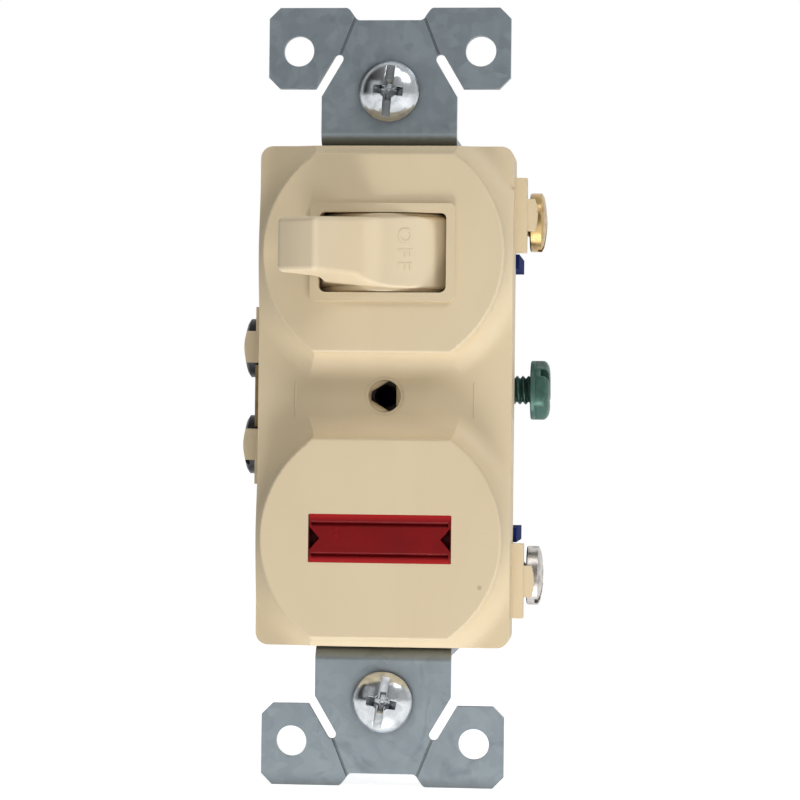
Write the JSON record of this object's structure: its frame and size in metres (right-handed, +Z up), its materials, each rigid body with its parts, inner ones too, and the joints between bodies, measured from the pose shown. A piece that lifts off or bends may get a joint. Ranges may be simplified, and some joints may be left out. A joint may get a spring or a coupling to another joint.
{
  "type": "toggle wall switch with pilot light",
  "caption": "Sideways toggle wall switch and red pilot light in an ivory cover on a zinc mounting strap with break-off ears, side wiring screws and a green ground screw.",
  "frame": {"origin": "centre of the wall-plate screw hole, on the wall plane at the back of the strap's ears", "axes": "+X to the right seen from the room, +Z up the wall, -Y out into the room"},
  "size_m": [0.0428, 0.05, 0.1064],
  "materials": {
    "ivory_plastic": "satin moulded thermoplastic",
    "blue_plastic": "matt moulded phenolic",
    "zinc_strap": "galvanised, mottled",
    "bright_zinc": "bright zinc plate",
    "brass": "bright brass",
    "silver": "polished contact silver",
    "black_steel": "black oxide",
    "green_steel": "green dyed zinc",
    "dark_steel": "dark phosphate",
    "spring_steel": "drawn wire",
    "red_fibre": "vulcanised fibre",
    "red_lens": "clear red moulded lens",
    "lamp_glass": "clear glass",
    "resistor_body": "lacquered",
    "tinned_wire": "tinned copper"
  },
  "bodies": {
    "housing": {"strap": "zinc_strap", "front_cover": "ivory_plastic", "rear_body": "blue_plastic", "toggle_spring": "spring_steel", "arm_pin": "spring_steel", "contact_spring": "spring_steel", "fixed_contact": "silver", "line_terminal": "brass", "load_terminal": "brass", "neutral_terminal": "bright_zinc", "screw_retainers": "red_fibre", "plate_screw_bushing": "dark_steel", "housing_screws": "bright_zinc", "pilot_lens": "red_lens", "neon_lamp": "lamp_glass", "lamp_electrodes": "spring_steel", "lamp_resistor": "resistor_body", "lamp_leads": "tinned_wire"},
    "toggle": {"toggle_lever": "ivory_plastic"},
    "arm": {"contact_arm": "brass", "moving_contact": "silver"},
    "line_screw_upper_body": {"line_screw_upper": "black_steel"},
    "line_screw_lower_body": {"line_screw_lower": "black_steel"},
    "load_screw_body": {"load_screw": "brass"},
    "neutral_screw_body": {"neutral_screw": "bright_zinc"},
    "ground_screw_body": {"ground_screw": "green_steel"},
    "mounting_screw_top_body": {"mounting_screw_top": "bright_zinc"},
    "mounting_screw_bottom_body": {"mounting_screw_bottom": "bright_zinc"}
  },
  "joints": [
    {"name": "toggle_throw", "type": "hinge", "parent": "housing", "child": "toggle", "pos_m": [0, 0.003, 0.01925], "axis": [0, 0, 1], "range_deg": [0, 45], "deforming": ["toggle_spring"]},
    {"name": "contact_arm_swing", "type": "hinge", "parent": "housing", "child": "arm", "pos_m": [0.0086, 0.015, 0.0251], "axis": [0, 1, 0], "range_deg": [0, 9], "deforming": ["contact_spring"]},
    {"name": "line_screw_upper_run", "type": "slide", "parent": "housing", "child": "line_screw_upper_body", "axis": [1, 0, 0], "range_m": [0, 0.0025]},
    {"name": "line_screw_lower_run", "type": "slide", "parent": "housing", "child": "line_screw_lower_body", "axis": [1, 0, 0], "range_m": [0, 0.0025]},
    {"name": "load_screw_run", "type": "slide", "parent": "housing", "child": "load_screw_body", "axis": [-1, 0, 0], "range_m": [0, 0.0034]},
    {"name": "neutral_screw_run", "type": "slide", "parent": "housing", "child": "neutral_screw_body", "axis": [-1, 0, 0], "range_m": [0, 0.0034]},
    {"name": "ground_screw_run", "type": "slide", "parent": "housing", "child": "ground_screw_body", "axis": [-1, 0, 0], "range_m": [0, 0.0034]},
    {"name": "mounting_screw_top_run", "type": "slide", "parent": "housing", "child": "mounting_screw_top_body", "axis": [0, -1, 0], "range_m": [0, 0.01]},
    {"name": "mounting_screw_bottom_run", "type": "slide", "parent": "housing", "child": "mounting_screw_bottom_body", "axis": [0, -1, 0], "range_m": [0, 0.01]}
  ],
  "couplings": [
    {"joint": "contact_arm_swing", "follows": "toggle_throw", "ratio": 0.2}
  ]
}
